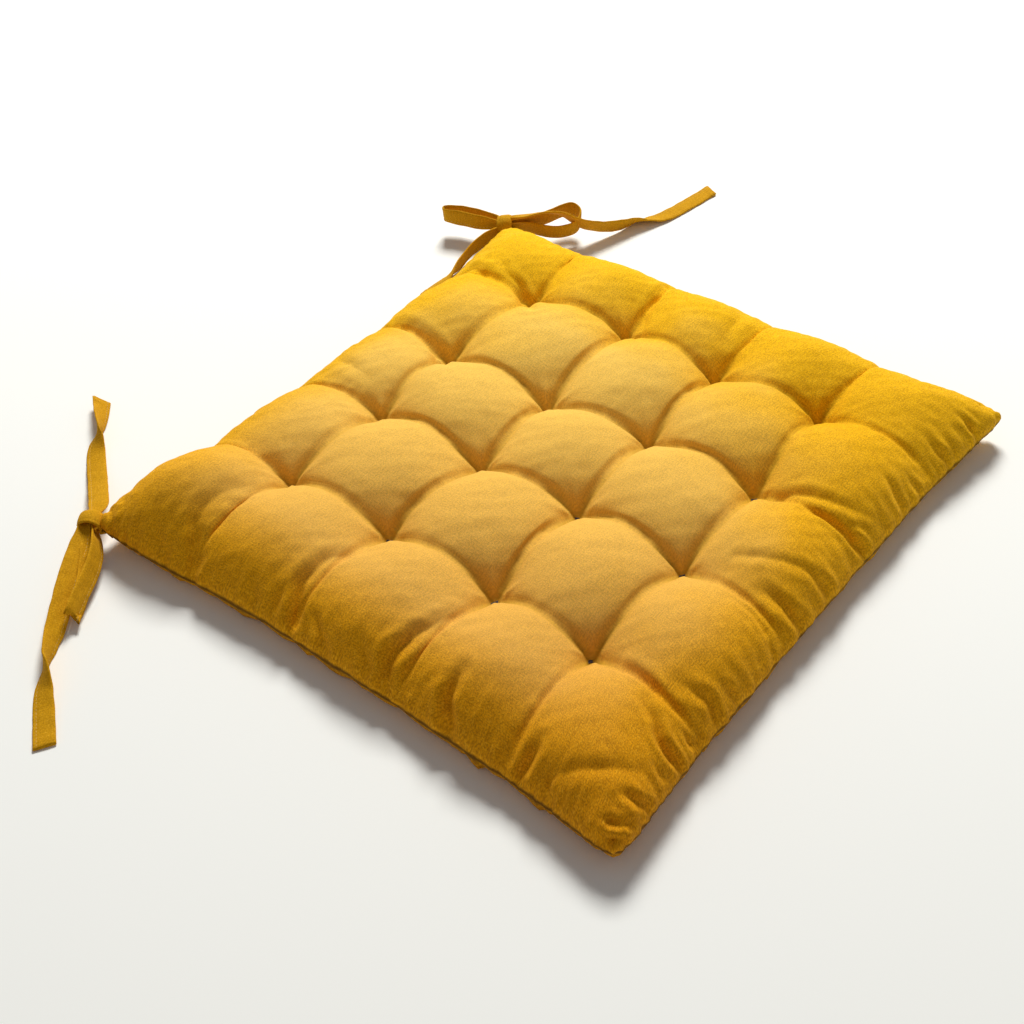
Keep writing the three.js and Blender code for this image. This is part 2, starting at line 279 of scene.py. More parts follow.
        # painted shade: the creases are mixed toward a darker, greener yellow, standing in for the shade that
        # falls in them
        creaseShadeNode = addNode(tree, "ShaderNodeAttribute", {"attribute_name": "crease"})
        colour = addNode(tree, "ShaderNodeMix", {"data_type": "RGBA"}, {
            "Factor": (creaseShadeNode, "Fac"), 6: (colour, 2), 7: linear(colours["crease"])})
        # the seam itself is a thin shaded line
        seam = addNode(tree, "ShaderNodeAttribute", {"attribute_name": "seamLine"})
        line = addNode(tree, "ShaderNodeMapRange", links={
            "Value": (seam, "Fac"), "From Min": 0.35, "From Max": 0.85, "To Min": 0.0, "To Max": 0.85})
        colour = addNode(tree, "ShaderNodeMix", {"data_type": "RGBA"}, {
            "Factor": (line, "Result"), 6: (colour, 2), 7: linear(colours["seam"])})
    else:
        colour = addNode(tree, "ShaderNodeMix", {"data_type": "RGBA"}, {
            "Factor": (speck, "Result"), 6: (colour, 2), 7: linear(colours["fibre"])})
    shader = addNode(tree, "ShaderNodeBsdfPrincipled", links={
        "Base Color": (colour, 2), "Roughness": 0.88, "Specular IOR Level": 0.15, "IOR": 1.5,
        "Sheen Weight": 0.08, "Sheen Roughness": 0.5, "Sheen Tint": linear(colours["fibre"]),
        "Normal": (bump, "Normal")})
    tree.links.new(shader.outputs["BSDF"], out.inputs["Surface"])
    return material


tieColours = {**clothColours, "body": "#D69C0A", "deep": "#B98304", "fibre": "#E9B534"}
coverCotton = wovenCotton("plainWovenCottonCover", coverWeave, clothColours, coverPaintedLight)
tieCotton = wovenCotton("plainWovenCottonTie", coverWeave, tieColours)
print("materials made")


# pad: two sewn panels, blown up as cloth and held at the seam and the tufts

padCut = {
    "cellSteps": 24,              # cloth squares to a tuft cell, about 3.5 mm each
    "cells": 5,
    "cellSpan": 80.0,             # mm to a cell of the finished pad, about
    "tuftSpacing": (77.3, 73.7),  # finished, along x and y
    "border": (78.0, 73.0),       # from the outer tufts to the seam
    "seamLength": (400.0, 376.0),
    "innerCut": 1.12,             # flat cloth over finished spacing between the tufts
    "borderCut": 1.42,            # and from the outer tufts to the seam
    "seamCut": 1.1,               # the seam is eased in along each side
    "seamHeight": 11.5,
    "cornerHeight": 14.0,
    "tuftHeight": 21.0,
    "tuftGap": 8.0,
    "valleyFill": 11.0,
    "crownFill": 7.5,
    "tipRound": {"frontLeft": 15.0, "frontRight": 7.0, "rearLeft": 12.0, "rearRight": 12.0},
    "tipPull": 0.3,
}

padCorners = {
    "frontLeft": (-210.5, -192.0),
    "frontRight": (209.0, -194.0),
    "rearLeft": (-203.0, 190.5),
    "rearRight": (192.0, 187.5),
}

padSides = {  # swell: where a side stands out, over what share of it, and by how much
    "left": {
        "ends": ("frontLeft", "rearLeft"), "inwards": (1, 0), "drawIn": 9.0,
        "swell": (0.84, 0.12, 3.0),
    },
    "right": {
        "ends": ("frontRight", "rearRight"), "inwards": (-1, 0), "drawIn": 5.0,
        "swell": (0.5, 0.2, 0.0),
    },
    "front": {
        "ends": ("frontLeft", "frontRight"), "inwards": (0, 1), "drawIn": 6.5,
        "swell": (0.3, 0.2, 1.0),
    },
    "rear": {
        "ends": ("rearLeft", "rearRight"), "inwards": (0, -1), "drawIn": 7.0,
        "swell": (0.1, 0.1, 1.5),
    },
}

tuftLines = [  # from the left edge to the right, each from the front to the rear
    {"x": (-118.2, -115.8, -113.5, -114.0), "y": (-111.1, -43.4, 35.6, 112.0)},
    {"x": (-37.0, -33.7, -37.2, -35.5), "y": (-114.6, -40.0, 28.8, 109.5)},
    {"x": (41.4, 41.7, 32.3, 33.7), "y": (-113.2, -38.4, 31.6, 111.5)},
    {"x": (123.6, 117.4, 121.5, 114.7), "y": (-108.6, -37.4, 34.5, 105.5)},
]

padCloth = {
    "pressure": 3000.0,
    "mass": 0.3,
    "tension": 40.0,
    "shear": 12.0,
    "bending": 0.03,
    "quality": 6,
    "airDamping": 2.0,
    "frames": 30,
    "groundGap": 1 * mm,
    "groundFriction": 5.0,
}


def seamPoint(side, share):
    s = padSides[side]
    a, b = (np.array(padCorners[name]) for name in s["ends"])
    at, reach, out = s["swell"]
    bow = s["drawIn"] * (1 - np.abs(2 * share - 1) ** 4) - out * np.exp(-((share - at) / reach) ** 2)
    return [a[k] + (b[k] - a[k]) * share + s["inwards"][k] * bow for k in (0, 1)]


def planOfPad(s, t):
    # where grid points lie in plan: s and t are counted in cells from the front left corner
    cells = padCut["cells"]
    plan = []
    for k, axis in enumerate("xy"):
        rows = [seamPoint("left", t / cells)[k]]
        for number, line in enumerate(tuftLines):
            share = (number + 1) / cells
            through = [seamPoint("front", share)[k], *line[axis], seamPoint("rear", share)[k]]
            rows.append(curveThrough(through, t))
        rows.append(seamPoint("right", t / cells)[k])
        plan.append(np.array([curveThrough(column, place)[0] for column, place in zip(np.array(rows).T, s)]))
    # the turned-out corners are blunt
    for name, reach in padCut["tipRound"].items():
        signs = (1 if "Left" in name else -1, 1 if "front" in name else -1)
        a = s if signs[0] > 0 else cells - s
        b = t if signs[1] > 0 else cells - t
        pull = padCut["tipPull"] * np.maximum(0, reach - padCut["cellSpan"] * np.hypot(a, b)) ** 2 / reach
        for k in (0, 1):
            plan[k] = plan[k] + signs[k] * pull
    return plan


def borderShare(place):
    return np.maximum(0, np.maximum(1 - place, place - (padCut["cells"] - 1)))


def fillAcross(place):
    f = place - np.floor(place)
    return np.where(borderShare(place) > 0.5, 1.0, np.clip(4 * f * (1 - f), 0, 1) ** 0.55)


def startShape(s, t):
    c = padCut
    outwards = np.maximum(borderShare(s), borderShare(t))
    seam = c["seamHeight"] + (c["cornerHeight"] - c["seamHeight"]) * (borderShare(s) * borderShare(t)) ** 2
    middle = c["tuftHeight"] + (seam - c["tuftHeight"]) * outwards ** 2 * (3 - 2 * outwards)
    a, b = fillAcross(s), fillAcross(t)
    rolls = [np.sqrt(1 - np.maximum(0, 2 * borderShare(p) - 1) ** 2) for p in (s, t)]
    roll = np.minimum(*rolls) * np.sqrt(np.maximum(*rolls))
    half = roll * (c["tuftGap"] / 2 + c["valleyFill"] * (a + b - a * b) + c["crownFill"] * a * b)
    return middle + half, np.maximum(0.5, middle - half)


def flatCut(s, t):
    # the same grid on the flat cloth before sewing
    c = padCut
    edges = []
    for spacing, width in zip(c["tuftSpacing"], c["border"]):
        border = width * c["borderCut"]
        steps = [border] + [spacing * c["innerCut"]] * (c["cells"] - 2) + [border]
        edge = np.concatenate([[0], np.cumsum(steps)])
        edges.append(edge - edge[-1] / 2)
    x = np.interp(s, np.arange(c["cells"] + 1), edges[0])
    y = np.interp(t, np.arange(c["cells"] + 1), edges[1])
    easeX = 1 - (1 - c["seamCut"] * c["seamLength"][0] / (2 * edges[0][-1])) * borderShare(t)
    easeY = 1 - (1 - c["seamCut"] * c["seamLength"][1] / (2 * edges[1][-1])) * borderShare(s)
    return x * easeX, y * easeY


def sewPad():
    c = padCut
    steps = c["cells"] * c["cellSteps"]
    line = np.linspace(0, c["cells"], steps + 1)
    s, t = (a.ravel() for a in np.meshgrid(line, line, indexing="ij"))
    x, y = planOfPad(s, t)
    top, bottom = startShape(s, t)
    cutX, cutY = flatCut(s, t)
    number = np.arange((steps + 1) ** 2).reshape(steps + 1, steps + 1)
    rim = np.ones_like(number, bool)
    rim[1:-1, 1:-1] = False
    free = ~rim.ravel()
    under = number.copy().ravel()
    under[free] = number.size + np.arange(free.sum())
    under = under.reshape(number.shape)
    points = np.concatenate([np.stack([x, y, top], 1), np.stack([x, y, bottom], 1)[free]])
    flat = np.concatenate([
        np.stack([cutX, cutY, np.where(free, 0.5, 0)], 1),
        np.stack([cutX, cutY, np.full_like(cutX, -0.5)], 1)[free],
    ])
    a, b, d, e = (g.ravel() for g in (number[:-1, :-1], number[1:, :-1], number[1:, 1:], number[:-1, 1:]))
    p, q, r, u = (g.ravel() for g in (under[:-1, :-1], under[:-1, 1:], under[1:, 1:], under[1:, :-1]))
    faces = np.concatenate([np.stack([a, b, d, e], 1), np.stack([p, q, r, u], 1)])
    pad = makeMesh("pad_cloth", points, faces)
    tufts = number[c["cellSteps"]:-1:c["cellSteps"], c["cellSteps"]:-1:c["cellSteps"]].ravel()
    tuftsUnder = under[c["cellSteps"]:-1:c["cellSteps"], c["cellSteps"]:-1:c["cellSteps"]].ravel()
    corners = number[[0, 0, -1, -1], [0, -1, 0, -1]]
    return pad, flat * mm, {
        "tufts": tufts, "tuftsUnder": tuftsUnder, "corners": corners, "seam": number[rim], "free": free,
    }


def inflatePad(pad, flat, held):
    s = padCloth
    pad.shape_key_add(name="sewn")
    key = pad.shape_key_add(name="flatCut")
    key.data.foreach_set("co", flat.ravel())
    key.value = 0.0
    group = pad.vertex_groups.new(name="held")
    for name in ("seam", "tufts", "tuftsUnder", "corners"):
        group.add([int(i) for i in held[name]], 1.0, "REPLACE")
    modifier = pad.modifiers.new("inflate", "CLOTH")
    cloth = modifier.settings
    cloth.quality = s["quality"]
    cloth.mass = s["mass"]
    cloth.air_damping = s["airDamping"]
    cloth.tension_stiffness = cloth.compression_stiffness = s["tension"]
    cloth.shear_stiffness = s["shear"]
    cloth.bending_stiffness = s["bending"]
    cloth.use_pressure = True
    cloth.uniform_pressure_force = s["pressure"]
    cloth.vertex_group_mass = "held"
    cloth.rest_shape_key = key
    cloth.effector_weights.gravity = 0.0
    modifier.collision_settings.use_self_collision = False
    modifier.collision_settings.distance_min = s["groundGap"]
    reach = 600
    corners = [(-reach, -reach, 0), (reach, -reach, 0), (reach, reach, 0), (-reach, reach, 0)]
    ground = makeMesh("ground", corners, [(0, 1, 2, 3)])
    ground.modifiers.new("rest", "COLLISION")
    ground.collision.thickness_outer = s["groundGap"]
    ground.collision.cloth_friction = s["groundFriction"]
    for step in range(1, s["frames"] + 1):
        scene.frame_set(step)
    applyModifiers(pad)
    scene.frame_set(1)
    bpy.data.objects.remove(ground)


padSim, flatCloth, heldPoints = sewPad()
inflatePad(padSim, flatCloth, heldPoints)
print("pad sewn and filled")


# creases and gathers: each path runs over the top in cells, with its depth in mm

padFolds = [  # width and ridge, then the path
    (3, 0.6, [(0.15, 4.96, 0.7), (0.07, 4.84, 1.9), (0.01, 4.78, 1.9)]),
    (3, 0.3, [(0.27, 4.84, 0.2), (0.1, 4.76, 1), (0.02, 4.7, 0.8)]),
    (3.4, 0.5, [(0.18, 4.46, 0.4), (0.08, 4.34, 1.4), (0.01, 4.24, 1.4)]),
    (5.2, 0.5, [
        (0.69, 4.08, 0.4), (0.47, 4.16, 1.6), (0.31, 4.16, 2.9),
        (0.16, 4.07, 3.6), (0.02, 4.03, 3.0)]),
    (2.5, 0.5, [(0.11, 4.17, 0.4), (0.04, 4.14, 1.4), (0.01, 4.14, 0.9)]),
    (3.6, 0.5, [(0.19, 3.48, 0.4), (0.07, 3.42, 1.6), (0.02, 3.33, 1.7)]),
    (3.2, 0.4, [(0.24, 3.2, 0.4), (0.14, 3.2, 1.7), (0.05, 3.2, 1.4)]),
    (3.8, 0.7, [
        (0.74, 2.9, 0.4), (0.57, 3.04, 1.9), (0.42, 3.09, 2.7),
        (0.28, 3.1, 3.9), (0.17, 3.05, 4.0), (0.06, 3, 2.8)]),
    (2.5, 0.6, [(0.18, 2.89, 0.4), (0.09, 2.78, 2), (0.03, 2.64, 2.3)]),
    (3.4, 0.4, [(0.18, 2.46, 0.4), (0.11, 2.35, 1.9), (0.05, 2.27, 1.9)]),
    (3.8, 0.7, [
        (0.81, 1.98, 0.4), (0.6, 2.03, 1.6), (0.43, 2.09, 2.6),
        (0.25, 2.15, 4.2), (0.14, 2.16, 4.6), (0.03, 2.1, 3)]),
    (3.8, 0.8, [(0.33, 1.61, 0.9), (0.22, 1.61, 3.6), (0.12, 1.59, 5), (0.03, 1.5, 3.6)]),
    (3.8, 0.7, [(0.24, 0.85, 0.9), (0.15, 0.86, 3.6), (0.04, 0.88, 3.9)]),
    (4.5, 0.21, [(0.08, 0.69, 1), (0.22, 0.52, 2), (0.33, 0.35, 2), (0.49, 0.17, 1)]),
    (2.2, 0.42, [(0.11, 0.69, 0.3), (0.05, 0.65, 1.4), (0.02, 0.58, 1.3)]),
    (2.6, 0.49, [(0.02, 0.22, 1.3), (0.04, 0.09, 3.5), (0.14, 0.01, 1.3)]),
    (2.2, 0.42, [(0.1, 0.23, 0.4), (0.15, 0.1, 2), (0.29, 0.02, 1.4)]),
    (2.6, 0.56, [(0.28, 0.2, 0.7), (0.34, 0.1, 2.7), (0.39, 0.03, 3.5)]),
    (3, 0.49, [
        (0.95, 0.88, 0.8), (0.99, 0.69, 2.2), (0.99, 0.52, 2.7),
        (0.97, 0.35, 1.5), (1.02, 0.22, 0.6)]),
    (3.4, 0.63, [
        (0.84, 0.45, 0.7), (0.81, 0.32, 2.2), (0.76, 0.23, 3.5),
        (0.75, 0.11, 4.3), (0.77, 0.03, 3.1)]),
    (2.2, 0.35, [(0.6, 0.17, 0.3), (0.6, 0.08, 1.4), (0.66, 0.02, 1.3)]),
    (2.6, 0.42, [(0.95, 0.15, 0.4), (0.95, 0.07, 2.1), (1.01, 0.01, 1.7)]),
    (3, 0.49, [(1.11, 0.4, 0.3), (1.16, 0.26, 1.4), (1.2, 0.16, 2.9), (1.21, 0.04, 2.7)]),
    (2.6, 0.49, [(1.36, 0.17, 0.4), (1.4, 0.07, 2.7), (1.44, 0.01, 2.1)]),
    (2.6, 0.35, [(1.91, 0.23, 0.3), (1.89, 0.1, 1.3), (1.88, 0.02, 1.5)]),
    (3.4, 0.63, [(2.11, 0.4, 0.7), (2.15, 0.25, 2.8), (2.18, 0.12, 3.9), (2.21, 0.02, 3.5)]),
    (2.2, 0.42, [(1.92, 0.51, 0.3), (1.93, 0.34, 1.4), (1.92, 0.17, 1)]),
    (3, 0.49, [
        (2.22, 0.71, 1), (2.33, 0.5, 1.4), (2.44, 0.31, 1.4),
        (2.52, 0.17, 2), (2.55, 0.06, 3.5), (2.57, 0.01, 2.2)]),
    (3, 0.56, [
        (2.88, 0.91, 1.4), (3.03, 0.77, 2.2), (3.1, 0.55, 2.1),
        (3.16, 0.35, 1.4), (3.23, 0.18, 0.6)]),
    (3, 0.63, [
        (2.94, 0.57, 0.6), (3.01, 0.42, 1.5), (3.03, 0.26, 3.1),
        (3.04, 0.11, 4.3), (3.06, 0.02, 3.1)]),
    (2.2, 0.42, [(3.09, 0.32, 0.3), (3.11, 0.22, 1.5), (3.16, 0.11, 0.6)]),
    (3, 0.42, [(3.62, 0.29, 0.3), (3.61, 0.17, 2), (3.6, 0.03, 2.4)]),
    (2.6, 0.35, [(3.81, 0.16, 0.3), (3.82, 0.06, 1.7), (3.88, 0.01, 1.4)]),
    (3.4, 0.42, [(4.2, 0.23, 0.3), (4.21, 0.11, 2.2), (4.27, 0.01, 2.1)]),
    (3, 0.56, [(4.59, 0.18, 0.6), (4.61, 0.07, 2.9), (4.65, 0.02, 3.1)]),
    (3.5, 0.6, [(3.69, 3.75, 2), (4.01, 4.12, 2.2), (4.08, 4.32, 1.2), (4.19, 4.51, 0.4)]),
    (3, 0.6, [(3.81, 2.82, 0.6), (4.22, 2.97, 1.2), (4.52, 3.03, 1.8), (4.75, 3.06, 2.6)]),
    (4, 0.4, [(4.26, 2.15, 0.4), (4.47, 2.2, 1.4), (4.75, 2.28, 1)]),
    (3.5, 0.4, [(4.4, 2.03, 0.4), (4.56, 2.05, 1), (4.75, 2.09, 0.5)]),
    (4, 0.5, [(3.96, 0.94, 1), (4.15, 0.97, 1.4), (4.42, 1.01, 1), (4.67, 1.06, 0.6)]),
    (4, 0.6, [(2.75, 3.82, 1), (2.98, 4.12, 2.4), (3.01, 4.33, 2.6), (3.03, 4.55, 2.4), (3.05, 4.73, 1.4)]),
    (5, 0.5, [(1.81, 3.86, 1), (1.93, 4.11, 1.4), (2, 4.38, 1.2), (2.04, 4.54, 0.6)]),
    (4, 0.4, [(2.21, 4.26, 0.4), (2.27, 4.52, 1.4), (2.34, 4.71, 1)]),
    (4.5, 0.6, [(3.96, 4.79, 1.2), (4.06, 4.75, 2.4), (4, 4.53, 2), (4, 4.3, 0.8)]),
    (5, 0.4, [(0.91, 3.92, 1), (1.01, 4.2, 1.6), (1.06, 4.48, 1.4), (1.1, 4.69, 0.8)]),
]

padBulges = [  # s, t and reach in cells, height in mm
    (0.56, 4.5, 0.4, 11.0), (4.62, 3.5, 0.38, 4.2), (4.62, 2.5, 0.38, 4.6), (4.62, 1.5, 0.38, 4.8),
    (4.6, 0.6, 0.4, 1.6), (4.45, 4.5, 0.35, 1.5), (1.5, 4.6, 0.36, 2.2), (2.5, 4.6, 0.34, 0.6),
    (0.35, 3.5, 0.34, 1.6), (0.35, 2.5, 0.34, 1.8), (0.35, 1.5, 0.34, 2.0), (0.45, 0.5, 0.4, 1.5),
    (1.5, 0.38, 0.34, 1.8), (2.5, 0.38, 0.34, 1.8), (3.5, 0.38, 0.34, 1.6), (3.4, 4.6, 0.36, 1.8),
    (4.74, 4.0, 0.2, 2.4), (4.72, 3.0, 0.22, 3.0), (4.72, 2.0, 0.22, 3.0), (4.72, 1.0, 0.22, 2.6),
]

padFinish = {
    "underSteps": 24,             # squares to a cell underneath, three times as many on top
    "cellSize": 82.0,
    "borderSize": 106.0,
    "valleyDepth": 4.4,
    "valleyWidth": 2.4,
    "valleyMiddle": 0.62,         # depth half way between two tufts, as a share
    "troughDepth": 0.35,
    "troughWidth": 13.0,
    "tuftWrinkle": 0.35,
    "wander": 1.2,                # how far a fold strays from its path, and over what length
    "wanderLength": 11.0,
    "pucker": 1.5,                # fine gathers along the seam
    "puckerLength": 6.0,
    "puckerReach": 22.0,
    "slack": 0.9,                 # slow unevenness of the cloth
    "slackLength": 34.0,
    "crumple": 0.28,
    "crumpleLength": 9.0,
    "drag": 0.35,                 # faint long wrinkles across the threads
    "dragLength": 10.0,
    "groundGap": 0.05,
    "grooveDepth": 1.4,
    "lip": 0.6,
    "underSwell": 1.6,            # how far the underside stands out below the seam
    "underReach": 8.0,
}


def clothNoise(x, y, scale, seed, stretch=1.0):
    flat = [noise.noise((a / scale, b / (scale * stretch), seed)) for a, b in zip(x.ravel(), y.ravel())]
    return np.array(flat).reshape(x.shape)


def alongEdge(place):
    # cells to mm of cloth, the border cells being wider
    f, edge = padFinish["cellSize"], padFinish["borderSize"]
    place = np.asarray(place, float)
    return edge * np.minimum(place, 1) + f * (np.clip(place, 1, 4) - 1) + edge * np.maximum(place - 4, 0)


def foldShift(x, y):
    f = padFinish
    shift = np.zeros_like(x)
    for width, ridge, path in padFolds:
        path = np.array(path, float)
        rows = np.stack([alongEdge(path[:, 0]), alongEdge(path[:, 1]), np.zeros(len(path)), path[:, 2]], 1)
        fine, places = evenly(rows, 1.0)
        seed = (width, path[0, 0] * 9)
        wander = f["wander"] * np.array([noise.noise((p / f["wanderLength"], *seed)) for p in places])
        fine[:, 0] += wander
        fine[:, 1] -= wander
        reach = 4.5 * width
        low, high = fine[:, :2].min(0) - reach, fine[:, :2].max(0) + reach
        near = np.where((x > low[0]) & (x < high[0]) & (y > low[1]) & (y < high[1]))
        if not len(near[0]):
            continue
        gap = np.hypot(x[near][:, None] - fine[None, :, 0], y[near][:, None] - fine[None, :, 1])
        best = gap.argmin(1)
        share = gap[np.arange(len(best)), best] / width
        valley = -np.exp(-share ** 1.25)
        bank = ridge * 0.5 * np.exp(-(share - 2.1) ** 2)
        shift[near] += fine[best, 3] * (valley + bank)
    return shift


def valleyShift(s, t, x, y):
    # sharp creases from tuft to tuft, softer half way between two tufts; the mask, strongest where they are
    # deepest, sets the painted shade in them
    f = padFinish
    deepest, broad, paintedShadeMask = (np.zeros_like(x) for _ in range(3))
    for number, (other, place) in enumerate(((t, x), (s, y))):
        for line in (1, 2, 3, 4):
            bend = 2.0 * np.sin(np.pi * other + line * 1.3 + number) * np.sin(np.pi * other) ** 2
            distance = np.abs(place - alongEdge(line) - bend)
            middle = smoothStep(np.abs(other - np.round(other)) / 0.45)
            outside = np.maximum(1 - other, other - 4)
            wave = np.sin(line * 2.1 + np.floor(other) * 1.7 + number * 2.6)
            amount = 1 - smoothStep(outside / 0.4)
            wide = f["valleyWidth"] * (1 + (0.35 + 0.2 * wave) * middle)
            depth = f["valleyDepth"] * (1 + (f["valleyMiddle"] * (1 + 0.3 * wave) - 1) * middle)
            deepest = np.maximum(deepest, amount * depth * np.exp(-distance / wide))
            paintedShadeMask = np.maximum(paintedShadeMask, amount * (0.7 - 0.35 * middle) * np.exp(-distance / 2.2))
            broad = np.maximum(broad, amount * f["troughDepth"] * np.exp(-(distance / f["troughWidth"]) ** 2))
    # the thread holds the cloth flat right at the tuft
    atTuft = np.hypot(x - alongEdge(np.round(s)), y - alongEdge(np.round(t)))
    inside = (np.round(s) % 5 > 0) & (np.round(t) % 5 > 0)
    held = 1 - 0.5 * np.exp(-(atTuft / 2.4) ** 2) * inside
    return -deepest * held - broad, paintedShadeMask


def tuftShift(x, y):
    # short wrinkles that run out from each tuft
    shift = np.zeros_like(x)
    for i in (1, 2, 3, 4):
        for j in (1, 2, 3, 4):
            a, b = alongEdge(i), alongEdge(j)
            near = np.where((np.abs(x - a) < 45) & (np.abs(y - b) < 45))
            dx, dy = x[near] - a, y[near] - b
            r = np.hypot(dx, dy)
            angle = np.arctan2(dy, dx)
            wave = np.sin(7 * angle + i * 1.9 + j * 2.7) + 0.7 * np.sin(11 * angle + i * 0.7 - j * 1.3)
            shift[near] += padFinish["tuftWrinkle"] * wave * np.exp(-r / 12) * (1 - np.exp(-(r / 4) ** 2))
    return shift


def resample(grid, s, t):
    # the simulated cloth read as a smooth surface at any lines of the grid
    steps = padCut["cellSteps"]
    once = curveThrough(grid, s * steps)
    return curveThrough(once.transpose(1, 0, 2), t * steps).transpose(1, 0, 2)


def finishPanel(grid, line, away):
    # one panel at its final fineness, with its creases, in mm
    f = padFinish
    s, t = np.meshgrid(line, line, indexing="ij")
    places = resample(grid, line, line)
    normal = unit(np.cross(np.gradient(places, axis=0), np.gradient(places, axis=1))) * away
    x, y = alongEdge(s), alongEdge(t)
    total = float(alongEdge(5.0))
    edges = np.stack([x, total - x, y, total - y])
    toSeam = edges.min(0)
    runsAlongY = edges[:2].min(0) < edges[2:].min(0)
    alongSeam = np.where(runsAlongY, y + 37 * away, x)
    shift = tuftShift(x, y) * (1.0 if away > 0 else 0.6)
    valleys, crease = valleyShift(s, t, x, y)
    if away > 0:
        shift += foldShift(x, y) * smoothStep((toSeam + 1) / 5) + valleys
        for a, b, reach, height in padBulges:
            shift += height * np.exp(-((s - a) ** 2 + (t - b) ** 2) / reach ** 2)
    else:
        near = toSeam / f["underReach"]
        shift += f["underSwell"] * near * np.exp(1 - near)
    gather = f["pucker"] * (1.0 if away > 0 else 0.5)
    fading = np.exp(-toSeam / f["puckerReach"])
    shift += gather * clothNoise(alongSeam, toSeam, f["puckerLength"], 4.2, 5.0) * fading
    shift += f["slack"] * clothNoise(x, y, f["slackLength"], 1.5) * smoothStep(toSeam / 12)
    shift += f["crumple"] * clothNoise(x, y, f["crumpleLength"], 8.5) * smoothStep(toSeam / 6)
    shift += f["drag"] * clothNoise(x + y, x - y, f["dragLength"], 3.3, 4.0) * smoothStep(toSeam / 15)
    shift += f["lip"] * np.exp(-((toSeam - 3.2) / 1.8) ** 2) * smoothStep(toSeam / 1.5)
    places = places + normal * shift[..., None]
    return places, crease, toSeam


def finishPad(pad, free):
    # both panels are read again at a finer grid and joined along the seam
    c, f = padCut, padFinish
    steps = c["cells"] * c["cellSteps"]
    side = steps + 1
    given = np.zeros(len(pad.data.vertices) * 3, np.float32)
    pad.data.vertices.foreach_get("co", given)
    given = given.reshape(-1, 3).astype(float) / mm
    top = given[:side * side]
    bottom = top.copy()
    bottom[free] = given[side * side:]
    coarse = np.linspace(0, c["cells"], c["cells"] * f["underSteps"] + 1)
    fine = np.linspace(0, c["cells"], c["cells"] * f["underSteps"] * 3 + 1)
    over, crease, toSeam = finishPanel(top.reshape(side, side, 3), fine, 1)
    under, _, _ = finishPanel(bottom.reshape(side, side, 3), coarse, -1)
    n, m = len(fine), len(coarse)
    ring = toSeam < 0.01
    middle = over[n // 2, n // 2, :2]
    inwards = unit(np.array([middle[0], middle[1], 12.0]) - over[ring])
    over[ring] += inwards * f["grooveDepth"]
    number = np.arange(n * n).reshape(n, n)
    lower = np.full((m, m), -1)
    lower[0, :], lower[-1, :] = number[0, ::3], number[-1, ::3]
    lower[:, 0], lower[:, -1] = number[::3, 0], number[::3, -1]
    inner = lower < 0
    lower[inner] = n * n + np.arange(inner.sum())
    points = np.concatenate([over.reshape(-1, 3), under[inner]])
    points[:, 2] = np.maximum(points[:, 2], f["groundGap"])
    squares = np.stack([number[:-1, :-1], number[1:, :-1], number[1:, 1:], number[:-1, 1:]], -1)
    faces = squares.reshape(-1, 4).tolist()
    for i in range(m - 1):
        for j in range(m - 1):
            corners = [(i, j), (i, j + 1), (i + 1, j + 1), (i + 1, j)]
            face = []
            for (a, b), (d, e) in zip(corners, corners[1:] + corners[:1]):
                face.append(int(lower[a, b]))
                onRim = (a == d and a in (0, m - 1)) or (b == e and b in (0, m - 1))
                if onRim:
                    # the top panel's finer points lie between
                    for third in (1, 2):
                        face.append(int(number[3 * a + (d - a) * third, 3 * b + (e - b) * third]))
            faces.append(face)
    s, t = np.meshgrid(fine, fine, indexing="ij")
    cutX, cutY = flatCut(s.ravel(), t.ravel())
    sUnder, tUnder = np.meshgrid(coarse, coarse, indexing="ij")
    underX, underY = flatCut(sUnder[inner], tUnder[inner])
    cut = np.stack([np.concatenate([cutX, underX]), np.concatenate([cutY, underY])], 1) * mm
    corner = np.concatenate([np.array(face) for face in faces])
    uvs = cut[corner]
    uvs[4 * (n - 1) ** 2:] += (0.6, 0.0)
    finished = makeMesh("pad_cover", points, faces, uvs, coverCotton)
    nothing = np.zeros(int(inner.sum()))
    # masks on the points: the seam line, the painted sheen on the top away from the seam, and the painted
    # shade in the creases
    for label, value in (
        ("seamLine", np.exp(-(toSeam / 1.4) ** 2)),
        ("worn", smoothStep((toSeam - 18) / 50)),
        ("crease", crease),
    ):
        layer = finished.data.attributes.new(label, "FLOAT", "POINT")
        layer.data.foreach_set("value", np.concatenate([value.ravel(), nothing]).astype(np.float32))
    bpy.data.objects.remove(pad)
    return finished


padCover = finishPad(padSim, heldPoints["free"])
print("pad finished")


# tuft threads

tuftThread = {"pitch": 2.6, "length": 4.6, "thickness": 1.3, "colour": "#4A4250"}


# ties: cotton strips folded to four layers and topstitched along one edge, tied at the rear corners

tieStrip = {
    "width": 12.5,
    "bandWidth": (8.5, 2.5),      # round the knot: at the root, and how much it opens out
    "lowest": 0.08,
    "thickness": 1.5,
    "step": 1.1,                  # between cross-sections
    "stitchPlace": -0.66,         # across the strip, -1 at the stitched edge
    "hem": 7.0,                   # turned in at a free end
    "ripple": 0.4,
    "gatherReach": 20.0,          # how far from the knot the strip is bunched
    "gatherWidth": 0.5,
    "gatherCup": 2.6,
}

# half the thickness of the strip at places across it, thinner along the stitches
stripSection = [
    (-1.0, 0.25), (-0.95, 0.7), (-0.82, 0.95), (-0.66, 0.6), (-0.5, 0.98), (-0.25, 1.05),
    (0.05, 1.08), (0.35, 1.08), (0.65, 1.05), (0.88, 0.95), (0.97, 0.6), (1.0, 0.2),
]

